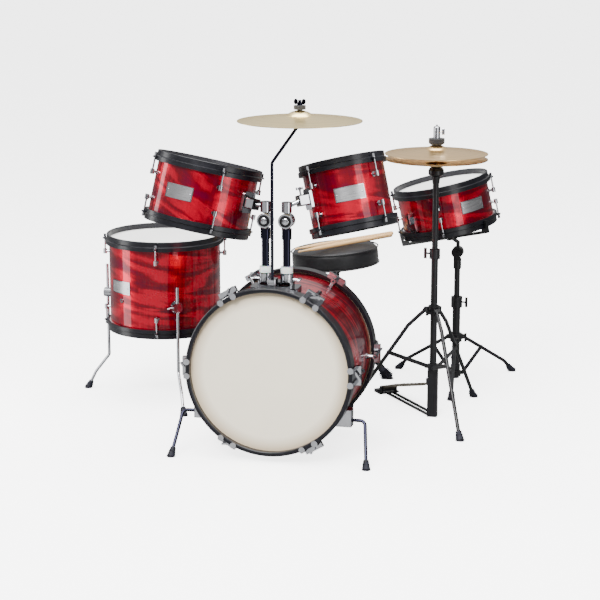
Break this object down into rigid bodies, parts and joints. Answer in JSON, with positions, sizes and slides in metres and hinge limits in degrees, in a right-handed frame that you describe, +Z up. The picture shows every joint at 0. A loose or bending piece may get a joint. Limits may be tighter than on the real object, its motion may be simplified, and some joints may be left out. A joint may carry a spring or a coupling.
{
  "type": "acoustic drum kit",
  "caption": "Junior acoustic drum kit with a red wrap: bass drum, rack toms, floor tom, snare, hi-hat and crash cymbals, foot pedals, stands and a padded stool holding the sticks",
  "frame": {"origin": "centre of the kit's floor plan, on the floor", "axes": "+X is the audience's right, +Y runs from the bass drum's front towards the drummer, +Z is up"},
  "size_m": [1.209, 1.1637, 0.913],
  "materials": {
    "red_wrap": "glossy metallic red wrap over a ply shell",
    "bass_hoop_black": "black satin lacquer",
    "hoop_black": "black satin enamel",
    "white_head": "white coated drum head",
    "ivory_head": "ivory film",
    "chrome_fittings": "polished chrome",
    "black_stand": "semi-gloss black enamel",
    "pedal_grey": "dark grey-bronze powder coat",
    "pale_brass": "lathed pale brass",
    "deep_brass": "lathed deep tan brass",
    "seat_vinyl": "black vinyl over foam",
    "maple": "light clear-lacquered maple"
  },
  "bodies": {
    "kit": {"bass_shell": "red_wrap", "bass_hoops": "bass_hoop_black", "bass_heads": "ivory_head", "bass_hardware": "chrome_fittings", "tom_mount": "chrome_fittings", "floor_tom_shell": "red_wrap", "floor_tom_hoops": "hoop_black", "floor_tom_heads": "white_head", "floor_tom_hardware": "chrome_fittings", "hihat_base": "black_stand", "snare_stand_lower_tube": "black_stand", "throne_tripod": "black_stand", "bass_pedal_frame": "pedal_grey"},
    "left_spur": {"left_spur": "chrome_fittings"},
    "right_spur": {"right_spur": "chrome_fittings"},
    "left_tom_post": {"left_tom_post": "chrome_fittings"},
    "left_tom": {"left_tom_shell": "red_wrap", "left_tom_hoops": "hoop_black", "left_tom_heads": "white_head", "left_tom_hardware": "chrome_fittings"},
    "right_tom_post": {"right_tom_post": "chrome_fittings"},
    "right_tom": {"right_tom_shell": "red_wrap", "right_tom_hoops": "hoop_black", "right_tom_heads": "white_head", "right_tom_hardware": "chrome_fittings"},
    "crash_rod": {"crash_rod": "chrome_fittings"},
    "crash_cymbal": {"crash_cymbal": "pale_brass"},
    "floor_tom_leg_1": {"floor_tom_leg_1": "chrome_fittings"},
    "floor_tom_leg_2": {"floor_tom_leg_2": "chrome_fittings"},
    "floor_tom_leg_3": {"floor_tom_leg_3": "chrome_fittings"},
    "hihat_collar": {"hihat_collar": "black_stand"},
    "hihat_leg_1": {"hihat_leg_1": "black_stand"},
    "hihat_brace_1": {"hihat_brace_1": "black_stand"},
    "hihat_leg_2": {"hihat_leg_2": "black_stand"},
    "hihat_brace_2": {"hihat_brace_2": "black_stand"},
    "hihat_leg_3": {"hihat_leg_3": "black_stand"},
    "hihat_brace_3": {"hihat_brace_3": "black_stand"},
    "snare_stand_collar": {"snare_stand_collar": "black_stand"},
    "snare_stand_leg_1": {"snare_stand_leg_1": "black_stand"},
    "snare_stand_brace_1": {"snare_stand_brace_1": "black_stand"},
    "snare_stand_leg_2": {"snare_stand_leg_2": "black_stand"},
    "snare_stand_brace_2": {"snare_stand_brace_2": "black_stand"},
    "snare_stand_leg_3": {"snare_stand_leg_3": "black_stand"},
    "snare_stand_brace_3": {"snare_stand_brace_3": "black_stand"},
    "hihat_upper_tube": {"hihat_upper_tube": "black_stand", "hihat_bottom_cymbal": "deep_brass"},
    "hihat_footboard": {"hihat_footboard": "pedal_grey"},
    "hihat_pull_rod": {"hihat_pull_rod": "black_stand", "hihat_top_cymbal": "deep_brass"},
    "snare_stand_upper_tube": {"snare_stand_upper_tube": "black_stand"},
    "snare_drum": {"snare_shell": "red_wrap", "snare_hoops": "hoop_black", "snare_heads": "white_head", "snare_hardware": "chrome_fittings", "snare_basket": "black_stand"},
    "throne_post": {"throne_post": "black_stand"},
    "throne_seat": {"throne_seat": "seat_vinyl"},
    "drumsticks": {"drumsticks": "maple"},
    "bass_pedal_footboard": {"bass_pedal_footboard": "pedal_grey"},
    "bass_pedal_beater": {"bass_pedal_beater": "pedal_grey"}
  },
  "joints": [
    {"name": "left_spur_swing", "type": "hinge", "parent": "kit", "child": "left_spur", "pos_m": [-0.1472, -0.4458, 0.108], "axis": [1, 0, 0], "range_deg": [-75, 0]},
    {"name": "right_spur_swing", "type": "hinge", "parent": "kit", "child": "right_spur", "pos_m": [0.3288, -0.4458, 0.108], "axis": [1, 0, 0], "range_deg": [-75, 0]},
    {"name": "left_tom_turn", "type": "hinge", "parent": "kit", "child": "left_tom_post", "pos_m": [0.0633, -0.4088, 0.5], "axis": [0, 0, 1], "range_deg": [-15, 15]},
    {"name": "left_tom_tilt", "type": "hinge", "parent": "left_tom_post", "child": "left_tom", "pos_m": [0.0633, -0.4088, 0.605], "axis": [0, 1, 0], "range_deg": [-12, 12]},
    {"name": "right_tom_turn", "type": "hinge", "parent": "kit", "child": "right_tom_post", "pos_m": [0.1183, -0.4088, 0.5], "axis": [0, 0, 1], "range_deg": [-15, 15]},
    {"name": "right_tom_tilt", "type": "hinge", "parent": "right_tom_post", "child": "right_tom", "pos_m": [0.1183, -0.4088, 0.605], "axis": [0, 1, 0], "range_deg": [-12, 12]},
    {"name": "crash_rod_turn", "type": "hinge", "parent": "kit", "child": "crash_rod", "pos_m": [0.0888, -0.4428, 0.455], "axis": [0, 0, 1], "continuous": true},
    {"name": "crash_cymbal_rock", "type": "hinge", "parent": "crash_rod", "child": "crash_cymbal", "pos_m": [0.1558, -0.4268, 0.883], "axis": [1, 0, 0], "range_deg": [-6, 6]},
    {"name": "floor_tom_leg_1_slide", "type": "slide", "parent": "kit", "child": "floor_tom_leg_1", "axis": [0, 0, 1], "range_m": [0, 0.06]},
    {"name": "floor_tom_leg_2_slide", "type": "slide", "parent": "kit", "child": "floor_tom_leg_2", "axis": [0, 0, 1], "range_m": [0, 0.06]},
    {"name": "floor_tom_leg_3_slide", "type": "slide", "parent": "kit", "child": "floor_tom_leg_3", "axis": [0, 0, 1], "range_m": [0, 0.06]},
    {"name": "hihat_collar_slide", "type": "slide", "parent": "kit", "child": "hihat_collar", "axis": [0, 0, 1], "range_m": [0, 0.105]},
    {"name": "hihat_leg_1_fold", "type": "hinge", "parent": "hihat_collar", "child": "hihat_leg_1", "pos_m": [0.40881, 0.0054, 0.301], "axis": [-0.0349, 0.9994, 0], "range_deg": [-27.67, 0]},
    {"name": "hihat_brace_1_fold", "type": "hinge", "parent": "kit", "child": "hihat_brace_1", "pos_m": [0.41281, 0.00554, 0.141], "axis": [-0.0349, 0.9994, 0], "range_deg": [0, 54.1]},
    {"name": "hihat_leg_2_fold", "type": "hinge", "parent": "hihat_collar", "child": "hihat_leg_2", "pos_m": [0.44004, 0.02767, 0.301], "axis": [0.9336, -0.3584, 0], "range_deg": [-27.67, 0]},
    {"name": "hihat_brace_2_fold", "type": "hinge", "parent": "kit", "child": "hihat_brace_2", "pos_m": [0.43861, 0.02394, 0.141], "axis": [0.9336, -0.3584, 0], "range_deg": [0, 54.1]},
    {"name": "hihat_leg_3_fold", "type": "hinge", "parent": "hihat_collar", "child": "hihat_leg_3", "pos_m": [0.44206, -0.01438, 0.301], "axis": [-0.8949, -0.4462, 0], "range_deg": [-27.67, 0]},
    {"name": "hihat_brace_3_fold", "type": "hinge", "parent": "kit", "child": "hihat_brace_3", "pos_m": [0.44028, -0.0108, 0.141], "axis": [-0.8949, -0.4462, 0], "range_deg": [0, 54.1]},
    {"name": "snare_stand_collar_slide", "type": "slide", "parent": "kit", "child": "snare_stand_collar", "axis": [0, 0, 1], "range_m": [0, 0.062]},
    {"name": "snare_stand_leg_1_fold", "type": "hinge", "parent": "snare_stand_collar", "child": "snare_stand_leg_1", "pos_m": [0.41894, 0.40732, 0.133], "axis": [0.4848, 0.8746, 0], "range_deg": [-51.43, 0]},
    {"name": "snare_stand_brace_1_fold", "type": "hinge", "parent": "kit", "child": "snare_stand_brace_1", "pos_m": [0.42243, 0.40538, 0.024], "axis": [0.4848, 0.8746, 0], "range_deg": [0, 36.28]},
    {"name": "snare_stand_leg_2_fold", "type": "hinge", "parent": "snare_stand_collar", "child": "snare_stand_leg_2", "pos_m": [0.45848, 0.41288, 0.133], "axis": [0.7071, -0.7071, 0], "range_deg": [-51.43, 0]},
    {"name": "snare_stand_brace_2_fold", "type": "hinge", "parent": "kit", "child": "snare_stand_brace_2", "pos_m": [0.45565, 0.41005, 0.024], "axis": [0.7071, -0.7071, 0], "range_deg": [0, 36.28]},
    {"name": "snare_stand_leg_3_fold", "type": "hinge", "parent": "snare_stand_collar", "child": "snare_stand_leg_3", "pos_m": [0.44298, 0.37029, 0.133], "axis": [-0.9962, -0.0872, 0], "range_deg": [-51.43, 0]},
    {"name": "snare_stand_brace_3_fold", "type": "hinge", "parent": "kit", "child": "snare_stand_brace_3", "pos_m": [0.44263, 0.37428, 0.024], "axis": [-0.9962, -0.0872, 0], "range_deg": [0, 36.28]},
    {"name": "hihat_height", "type": "slide", "parent": "kit", "child": "hihat_upper_tube", "axis": [0, 0, 1], "range_m": [0, 0.05]},
    {"name": "hihat_footboard_press", "type": "hinge", "parent": "kit", "child": "hihat_footboard", "pos_m": [0.27151, 0.21749, 0.017], "axis": [0.7967, 0.6044, 0], "range_deg": [0, 3.09], "stiffness_Nm_per_rad": 30, "springref_deg": -8.59},
    {"name": "hihat_rod_pull", "type": "slide", "parent": "hihat_upper_tube", "child": "hihat_pull_rod", "axis": [0, 0, 1], "range_m": [-0.01301, 0]},
    {"name": "snare_height", "type": "slide", "parent": "kit", "child": "snare_stand_upper_tube", "axis": [0, 0, 1], "range_m": [-0.05, 0.05]},
    {"name": "snare_tilt", "type": "hinge", "parent": "snare_stand_upper_tube", "child": "snare_drum", "pos_m": [0.4408, 0.3952, 0.389], "axis": [0, 1, 0], "range_deg": [-12, 12]},
    {"name": "throne_height", "type": "slide", "parent": "kit", "child": "throne_post", "axis": [0, 0, 1], "range_m": [-0.05, 0.05]},
    {"name": "throne_seat_spin", "type": "hinge", "parent": "throne_post", "child": "throne_seat", "pos_m": [0.0758, 0.4062, 0.331], "axis": [-0.0785, 0, 0.9969], "continuous": true},
    {"name": "drumsticks_lift", "type": "slide", "parent": "throne_seat", "child": "drumsticks", "axis": [-0.0785, 0, 0.9969], "range_m": [0, 0.05]},
    {"name": "bass_pedal_press", "type": "hinge", "parent": "kit", "child": "bass_pedal_footboard", "pos_m": [0.0908, 0.1292, 0.017], "axis": [1, 0, 0], "range_deg": [0, 7], "stiffness_Nm_per_rad": 12, "springref_deg": -6.88},
    {"name": "bass_beater_swing", "type": "hinge", "parent": "kit", "child": "bass_pedal_beater", "pos_m": [0.0908, -0.1588, 0.11], "axis": [1, 0, 0], "range_deg": [0, 35.05]}
  ],
  "couplings": [
    {"joint": "hihat_leg_1_fold", "follows": "hihat_collar_slide", "rad_per_m": -4.5911},
    {"joint": "hihat_brace_1_fold", "follows": "hihat_collar_slide", "rad_per_m": 8.9843},
    {"joint": "hihat_leg_2_fold", "follows": "hihat_collar_slide", "rad_per_m": -4.5911},
    {"joint": "hihat_brace_2_fold", "follows": "hihat_collar_slide", "rad_per_m": 8.9843},
    {"joint": "hihat_leg_3_fold", "follows": "hihat_collar_slide", "rad_per_m": -4.5911},
    {"joint": "hihat_brace_3_fold", "follows": "hihat_collar_slide", "rad_per_m": 8.9843},
    {"joint": "snare_stand_leg_1_fold", "follows": "snare_stand_collar_slide", "rad_per_m": -14.464},
    {"joint": "snare_stand_brace_1_fold", "follows": "snare_stand_collar_slide", "rad_per_m": 10.199},
    {"joint": "snare_stand_leg_2_fold", "follows": "snare_stand_collar_slide", "rad_per_m": -14.464},
    {"joint": "snare_stand_brace_2_fold", "follows": "snare_stand_collar_slide", "rad_per_m": 10.199},
    {"joint": "snare_stand_leg_3_fold", "follows": "snare_stand_collar_slide", "rad_per_m": -14.464},
    {"joint": "snare_stand_brace_3_fold", "follows": "snare_stand_collar_slide", "rad_per_m": 10.199},
    {"joint": "hihat_rod_pull", "follows": "hihat_footboard_press", "m_per_rad": -0.24105},
    {"joint": "bass_beater_swing", "follows": "bass_pedal_press", "ratio": 5}
  ]
}
